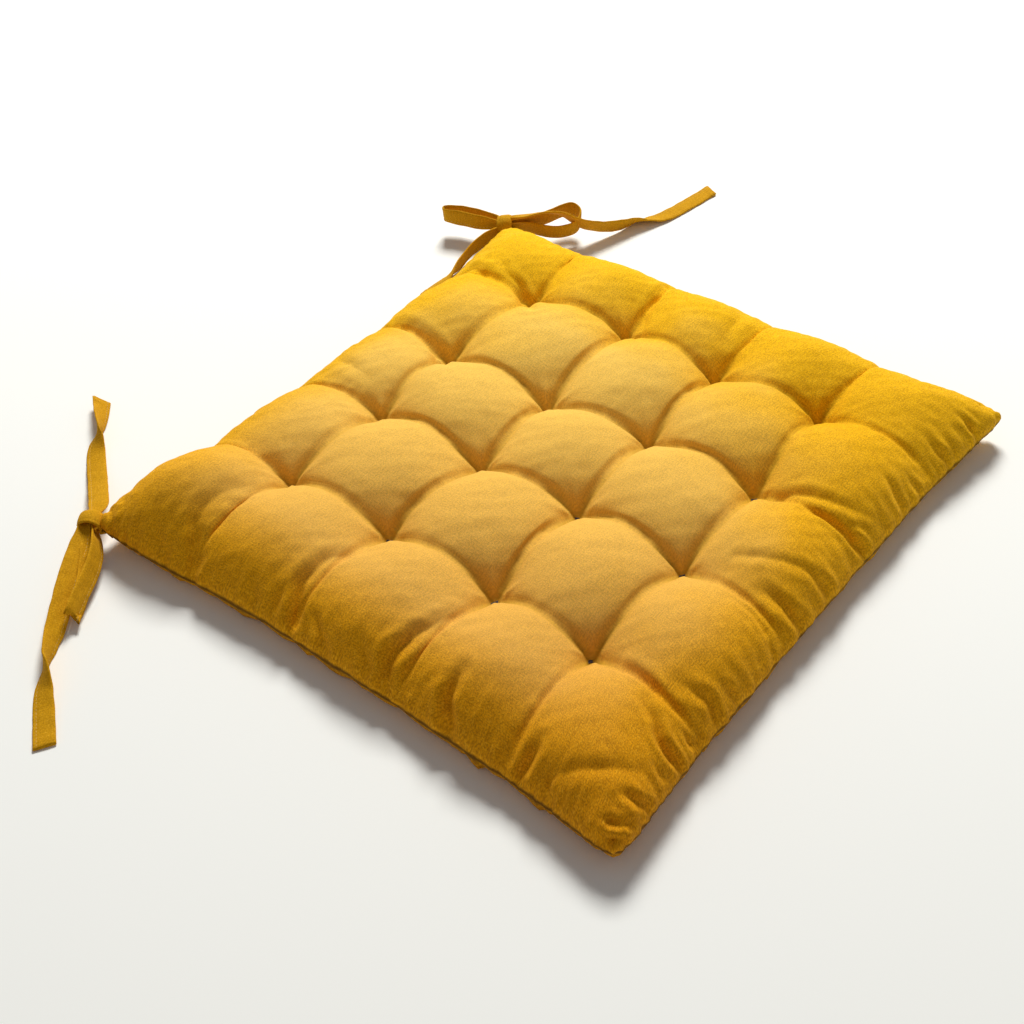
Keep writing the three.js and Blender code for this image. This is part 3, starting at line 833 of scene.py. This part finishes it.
leftTie = {
    "seed": 3,
    "knot": {
        "centre": (-201.4, 194.1, 15.0), "axis": 34.0, "radii": (7.2, 6.0),
        "root": (-192.0, 181.5, 13.0),
    },
    "strips": [  # stations are x, y, z and the tilt of the strip across its run
        {
            "freeEnd": 0.3,
            "stations": [
                (-200, 196, 16, 0), (-191, 200.5, 15, 0), (-181.3, 211.9, 11, 4), (-167.1, 230.7, 5, 6),
                (-150.6, 251.5, 2.2, 12), (-140.5, 261.2, 5, 46), (-134.4, 265.9, 6.6, 88),
                (-124.9, 275.3, 5.9, 122), (-112, 289.5, 4.2, 146),
            ],
        },
        {
            "freeEnd": -1.0,
            "stations": [
                (-201, 197, 17.5, 0), (-206, 194.3, 16.5, 6), (-216.5, 187.2, 13.5, 18),
                (-229.4, 179, 12, 26), (-247.8, 166.3, 9.5, 32), (-265.8, 153.3, 6.5, 42),
                (-274, 147.8, 6, 58), (-284.9, 139.4, 6.2, 86), (-291.3, 132.7, 5.8, 118),
                (-302.5, 121.3, 2.5, 160), (-324.5, 94.9, 1, 180),
            ],
        },
        {
            "across": 127.0,
            "stations": [
                (-203, 192.5, 14, 70), (-210.6, 179.4, 13, 66), (-221.5, 170, 11.5, 62),
                (-232.6, 163.2, 10.8, 62), (-243.6, 157.1, 10.2, 65), (-252.5, 152.2, 9.4, 68),
                (-255.4, 150.7, 7.9, 68), (-250.8, 153.9, 6.6, 68), (-236.6, 164, 6.6, 64),
                (-224, 175, 7.6, 58), (-212.5, 185.5, 9.6, 52), (-204.5, 194, 12.6, 46),
            ],
        },
    ],
}

rightTie = {
    "seed": 11,
    "knot": {
        "centre": (195.2, 193.4, 15.5), "axis": -51.0, "radii": (6.4, 6.2),
        "root": (186.0, 181.0, 13.0),
    },
    "strips": [
        {
            "across": 200.0,
            "stations": [
                (192.5, 196.5, 16.5, 88), (184.5, 210.5, 17, 88), (180.8, 224, 17, 88),
                (177.6, 232.5, 17, 82), (177.4, 236.5, 17, 78), (180.2, 238.3, 17, 78),
                (183.8, 235, 17, 82), (189, 223.6, 17, 86), (192.2, 210.3, 17, 86),
                (195.2, 198.5, 16.5, 86),
            ],
        },
        {
            "freeEnd": 2.0,
            "stations": [
                (193.5, 195, 14.5, 92), (183, 195.8, 13, 94), (172.9, 198.2, 11, 96),
                (163.2, 199.3, 9, 98), (151.3, 198, 7, 98), (138.7, 196, 6.3, 112),
                (124, 194.5, 4, 156), (104, 194.5, 1, 180),
            ],
        },
        {
            "across": 230.0,
            "stations": [
                (198.5, 193, 15.5, 76), (206, 183.5, 16, 76), (213.5, 176.5, 17, 78),
                (222, 171.6, 18, 80), (230.5, 168.2, 19, 82), (236.6, 164, 19, 84),
                (236.8, 157.6, 18, 84), (232, 152.6, 16.5, 82), (224.3, 151.7, 14.4, 78),
                (216, 157, 13, 76), (209.8, 165.2, 13, 74), (206, 177, 13.5, 72), (199.5, 191, 15, 70),
            ],
        },
        {
            "freeEnd": -2.0,
            "stations": [
                (197, 194.5, 18.5, 16), (201.5, 187, 21, 20), (206.2, 178, 24, 26),
                (212.5, 168.6, 26.5, 34), (218, 158.5, 26, 44), (224.2, 150.2, 20.5, 54),
                (231.8, 144.6, 15, 60), (243.9, 137.7, 10, 66), (256.2, 132.4, 7, 68),
                (268.7, 129, 5, 50), (281, 123.4, 2.5, 20), (297, 117, 1, 2), (344.7, 109.5, 1, 0),
            ],
        },
    ],
}


def stripRoute(strip, knot):
    # centre line, width direction, width and cup of one strip
    s = tieStrip
    rows, along = evenly(np.array(strip["stations"], float), s["step"])
    centre, tilt = rows[:, :3], np.radians(rows[:, 3])
    run = unit(np.gradient(centre, axis=0))
    heading = np.arctan2(run[:, 1], run[:, 0]) - math.pi / 2
    if "across" in strip:
        heading = np.full_like(heading, math.radians(strip["across"]))
    wide = np.stack([np.cos(tilt) * np.cos(heading), np.cos(tilt) * np.sin(heading), np.sin(tilt)], 1)
    free = smoothStep(np.linalg.norm(centre - np.array(knot["centre"]), axis=1) / s["gatherReach"])
    width = s["width"] * (s["gatherWidth"] + (1 - s["gatherWidth"]) * free)
    return centre, wide, width, s["gatherCup"] * (1 - free), along


def bandRoute(knot):
    # the strip's root comes out of the pad's corner, goes over the knot, round it and under itself
    axis = math.radians(knot["axis"])
    along = np.array([math.cos(axis), math.sin(axis), 0])
    away = np.array([-math.sin(axis), math.cos(axis), 0])
    centre = np.array(knot["centre"])
    rows = [np.array(knot["root"], float)]
    for turn in range(-25, 330, 25):
        angle = math.radians(turn)
        reach = 1.0 if turn < 250 else 0.8
        rows.append(centre - away * knot["radii"][0] * reach * math.cos(angle)
                    + np.array([0, 0, knot["radii"][1]]) * reach * math.sin(angle)
                    + along * (-1.2 + 2.4 * turn / 330))
    centre, places = evenly(np.array(rows), 0.8)
    share = places / places[-1]
    narrow, opening = tieStrip["bandWidth"]
    width = narrow + opening * np.sin(np.pi * np.clip(share * 1.25, 0, 1))
    wide = np.tile(along, (len(centre), 1))
    return centre, wide, width, np.full(len(centre), -0.8), places


def stripMesh(route, freeEnd, seed, thick=1.0):
    # carries the section along a route; also gives the two lines where the stitches lie
    s = tieStrip
    centre, wide, width, cup, along = route
    run = unit(np.gradient(centre, axis=0))
    wide = unit(wide - run * np.sum(wide * run, axis=1, keepdims=True))
    normal = np.cross(wide, run)
    across = np.array([row[0] for row in stripSection])
    half = np.array([row[1] for row in stripSection]) * s["thickness"] * thick / 2
    length = along[-1]
    fromEnd = length - along
    faceRows = []
    for sign in (1, -1):
        for k, u in enumerate(across):
            ripple = np.array([noise.noise((a / 7, u * 1.1 + seed, seed * 1.7)) for a in along]) * s["ripple"]
            pucker = np.array([noise.noise((a / 2.3, seed + 5.0, 0.0)) for a in along]) * 0.22
            pucker = pucker * math.exp(-((u - s["stitchPlace"]) / 0.25) ** 2)
            edge = 1 + 0.05 * np.array([noise.noise((a / 9, seed + 9.0, np.sign(u))) for a in along])
            rise = half[k] * np.ones_like(along)
            if freeEnd is not None:
                # the turned-in end is thicker, and closes at the tip
                slant = freeEnd * u
                rise = rise + 0.45 * smoothStep((s["hem"] - fromEnd - slant) / 1.2) * (abs(u) < 0.96)
                rise = rise * (0.35 + 0.65 * smoothStep(fromEnd / 1.2))
            shift = cup * (u * u - 0.35) + ripple + pucker
            place = centre + wide * (width / 2 * u * edge)[:, None] + normal * (shift + sign * rise)[:, None]
            if freeEnd is not None:
                place = place + run * (freeEnd * u * smoothStep(1 - fromEnd / 9))[:, None]
            faceRows.append(place)
    rows = np.stack(faceRows, 1)
    rows[..., 2] = np.maximum(rows[..., 2], s["lowest"])
    count, m = len(along), len(across)
    top = list(range(m))
    ring = top + list(range(2 * m - 1, m - 1, -1))
    faces, uvs = [], []
    flatAcross = [u * s["width"] / 2 for u in across] + [u * s["width"] / 2 + 30 for u in across]
    for i in range(count - 1):
        for a, b in zip(ring, ring[1:] + ring[:1]):
            faces.append((i * 2 * m + a, i * 2 * m + b, (i + 1) * 2 * m + b, (i + 1) * 2 * m + a))
            ua, ub = flatAcross[a], flatAcross[b]
            if abs(ua - ub) > 20:
                ub = ua
            uvs += [(ua, along[i]), (ub, along[i]), (ub, along[i + 1]), (ua, along[i + 1])]
    for i, turned in ((0, True), (count - 1, False)):
        for k in range(m - 1):
            face = [i * 2 * m + k, i * 2 * m + m + k, i * 2 * m + m + k + 1, i * 2 * m + k + 1]
            faces.append(face if turned else face[::-1])
            uvs += [(flatAcross[k], along[i])] * 4
    points = rows.reshape(-1, 3)
    uvs = (np.array(uvs) + (0, seed * 41.0)) * mm
    k = [row[0] for row in stripSection].index(s["stitchPlace"])
    keep = (along > 2) & (fromEnd > 1.5)
    return points, faces, uvs, [rows[keep, k], rows[keep, m + k]]


def tieMesh(name, tie):
    points, faces, uvs, stitchLines = [], [], [], []
    centre = np.array(tie["knot"]["centre"])
    parts = [(stripRoute(strip, tie["knot"]), strip.get("freeEnd"), 1.0) for strip in tie["strips"]]
    parts.append((bandRoute(tie["knot"]), None, 1.2))
    flatLength = 0
    for number, (route, freeEnd, thick) in enumerate(parts):
        p, f, u, lines = stripMesh(route, freeEnd, tie["seed"] + number * 2.3, thick)
        start = sum(len(q) for q in points)
        points.append(p)
        faces += [[i + start for i in face] for face in f]
        uvs.append(u)
        flatLength += route[4][-1]
        if number < len(parts) - 1:
            stitchLines += [line[np.linalg.norm(line - centre, axis=1) > 10.5] for line in lines]
    piece = makeMesh(name, np.concatenate(points), faces, np.concatenate(uvs), tieCotton)
    return piece, flatLength, stitchLines


stitchThread = {"pitch": 2.5, "length": 1.9, "thickness": 0.34, "colour": "#E9BE62"}


def threadCotton(name, colour):
    # spun and dyed sewing thread: a soft low sheen over a round twisted strand
    material = bpy.data.materials.new(name)
    material.use_nodes = True
    tree = material.node_tree
    shader = tree.nodes["Principled BSDF"]
    place = addNode(tree, "ShaderNodeTexCoord")
    twist = addNode(tree, "ShaderNodeTexNoise", links={"Vector": (place, "Object"), "Scale": 1 / (1.5 * mm)})
    shade = addNode(tree, "ShaderNodeMix", {"data_type": "RGBA"}, {
        "Factor": (twist, "Fac"), 6: [0.6 * c for c in linear(colour)[:3]] + [1.0], 7: linear(colour)})
    tree.links.new(shade.outputs[2], shader.inputs["Base Color"])
    shader.inputs["Roughness"].default_value = 0.6
    shader.inputs["Sheen Weight"].default_value = 0.15
    return material


def stitchTree(name, material):
    # stitches at an even pitch along every line of the mesh
    tree = bpy.data.node_groups.new(name, "GeometryNodeTree")
    tree.interface.new_socket("Lines", in_out="INPUT", socket_type="NodeSocketGeometry")
    for label in ("Pitch", "Stitch Length", "Thread Thickness"):
        tree.interface.new_socket(label, in_out="INPUT", socket_type="NodeSocketFloat")
    tree.interface.new_socket("Stitches", in_out="OUTPUT", socket_type="NodeSocketGeometry")
    given = addNode(tree, "NodeGroupInput")
    result = addNode(tree, "NodeGroupOutput")
    curve = addNode(tree, "GeometryNodeMeshToCurve", links={"Mesh": (given, "Lines")})
    points = addNode(tree, "GeometryNodeCurveToPoints", {"mode": "LENGTH"}, {
        "Curve": (curve, "Curve"), "Length": (given, "Pitch")})
    bead = addNode(tree, "GeometryNodeMeshUVSphere", links={"Segments": 6, "Rings": 5, "Radius": 0.5})
    size = addNode(tree, "ShaderNodeCombineXYZ", links={
        "X": (given, "Thread Thickness"), "Y": (given, "Thread Thickness"), "Z": (given, "Stitch Length")})
    shaped = addNode(tree, "GeometryNodeTransform", links={
        "Geometry": (bead, "Mesh"), "Scale": (size, "Vector")})
    jitter = addNode(tree, "FunctionNodeRandomValue", {"data_type": "FLOAT_VECTOR"}, {
        0: (0.8, 0.8, 0.85), 1: (1.15, 1.15, 1.1), "Seed": 7})
    placed = addNode(tree, "GeometryNodeInstanceOnPoints", links={
        "Points": (points, "Points"), "Instance": (shaped, "Geometry"),
        "Rotation": (points, "Rotation"), "Scale": (jitter, "Value")})
    real = addNode(tree, "GeometryNodeRealizeInstances", links={"Geometry": (placed, "Instances")})
    smooth = addNode(tree, "GeometryNodeSetShadeSmooth", links={"Geometry": (real, "Geometry")})
    finish = addNode(tree, "GeometryNodeSetMaterial", links={
        "Geometry": (smooth, "Geometry"), "Material": material})
    tree.links.new(finish.outputs["Geometry"], result.inputs["Stitches"])
    return tree


def sewAlong(name, lines, thread, material):
    points = np.concatenate(lines)
    points[:, 2] = np.maximum(points[:, 2], 0.6 * thread["thickness"])
    edges, start = [], 0
    for line in lines:
        edges += [(start + i, start + i + 1) for i in range(len(line) - 1)]
        start += len(line)
    mesh = bpy.data.meshes.new(name)
    mesh.from_pydata((points * mm).tolist(), edges, [])
    piece = bpy.data.objects.new(name, mesh)
    scene.collection.objects.link(piece)
    tree = stitchTree(name + "_tree", material)
    modifier = piece.modifiers.new("stitches", "NODES")
    modifier.node_group = tree
    values = {
        "Pitch": thread["pitch"] * mm, "Stitch Length": thread["length"] * mm,
        "Thread Thickness": thread["thickness"] * mm,
    }
    for item in tree.interface.items_tree:
        if item.item_type == "SOCKET" and item.in_out == "INPUT" and item.name in values:
            modifier[item.identifier] = values[item.name]
    return applyModifiers(piece)


paleThread = threadCotton("paleSewingThread", stitchThread["colour"])
darkThread = threadCotton("darkButtonThread", tuftThread["colour"])
tieLeft, leftLength, leftStitches = tieMesh("tie_left_strips", leftTie)
tieRight, rightLength, rightStitches = tieMesh("tie_right_strips", rightTie)
stitchesLeft = sewAlong("tie_left_stitches", leftStitches, stitchThread, paleThread)
stitchesRight = sewAlong("tie_right_stitches", rightStitches, stitchThread, paleThread)
print("ties tied and stitched")


def tuftLinesOn(pad):
    # two strands of thread lie over each tuft, on both faces
    lines = []
    steps = padFinish["underSteps"] * 3
    side = padCut["cells"] * steps + 1
    places = [(i * side + j) * steps for i in (1, 2, 3, 4) for j in (1, 2, 3, 4)]
    for away, drop in ((1, 0.0), (-1, padCut["tuftGap"])):
        for number, index in enumerate(places):
            middle = np.array(pad.data.vertices[int(index)].co) / mm - (0, 0, drop)
            turn = 0.35 * math.sin(number * 2.3) - 0.65
            run = np.array([math.cos(turn), math.sin(turn), 0.0])
            beside = np.array([-run[1], run[0], 0.0])
            for offset in (-0.55, 0.55):
                start = middle + beside * offset + np.array([0, 0, 0.7 * away])
                lines.append(np.array([start - run * 1.3, start + run * 1.3]))
    return lines


tuftThreads = sewAlong("tuft_threads", tuftLinesOn(padCover), tuftThread, darkThread)
print("tufts threaded")


# floor and light

studio = {
    "floorSize": 8.0,
    "floorColour": "#FAFAFA",
    "worldStrength": 0.22,
    "keyEnergy": 122.0,
    "keySize": 1.0,
    "keyPlace": (1.93, 1.23, 2.3),
    "keyColour": "#FEFFF8",
    "worldColour": "#FFFAF5",
    "fillEnergy": 0.5,
    "fillPlace": (-1.2, -0.9, 1.6),
}


def placeLight(name, energy, size, place, colour="#FFFFFF", target=(0, 0, 0)):
    data = bpy.data.lights.new(name, "AREA")
    data.energy = energy
    data.color = linear(colour)[:3]
    data.size = size
    lamp = bpy.data.objects.new(name, data)
    lamp.location = place
    lamp.rotation_euler = (Vector(target) - Vector(place)).to_track_quat("-Z", "Y").to_euler()
    scene.collection.objects.link(lamp)


half = studio["floorSize"] * 500
floorMaterial = bpy.data.materials.new("mattPaleFloor")
floorMaterial.use_nodes = True
floorShader = floorMaterial.node_tree.nodes["Principled BSDF"]
floorShader.inputs["Base Color"].default_value = linear(studio["floorColour"])
floorShader.inputs["Roughness"].default_value = 0.9
floor = makeMesh("floor", [(-half, -half, 0), (half, -half, 0), (half, half, 0), (-half, half, 0)],
                 [(0, 1, 2, 3)], material=floorMaterial)
placeLight("keyLight", studio["keyEnergy"], studio["keySize"], studio["keyPlace"], studio["keyColour"])
placeLight("fillLight", studio["fillEnergy"], 1.2, studio["fillPlace"])
world = bpy.data.worlds.new("softWorld")
scene.world = world
world.use_nodes = True
world.node_tree.nodes["Background"].inputs["Color"].default_value = linear(studio["worldColour"])
world.node_tree.nodes["Background"].inputs["Strength"].default_value = studio["worldStrength"]
scene.view_settings.view_transform = "Standard"
print("studio lit")


# what stands for what

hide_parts("pad")
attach(padCover, "root")
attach(tuftThreads, "root")
for strips, stitches, node, flatLength in (
    (tieLeft, stitchesLeft, "tie_left", leftLength),
    (tieRight, stitchesRight, "tie_right", rightLength),
):
    for piece in (strips, stitches):
        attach(piece, "root")
    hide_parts(node)
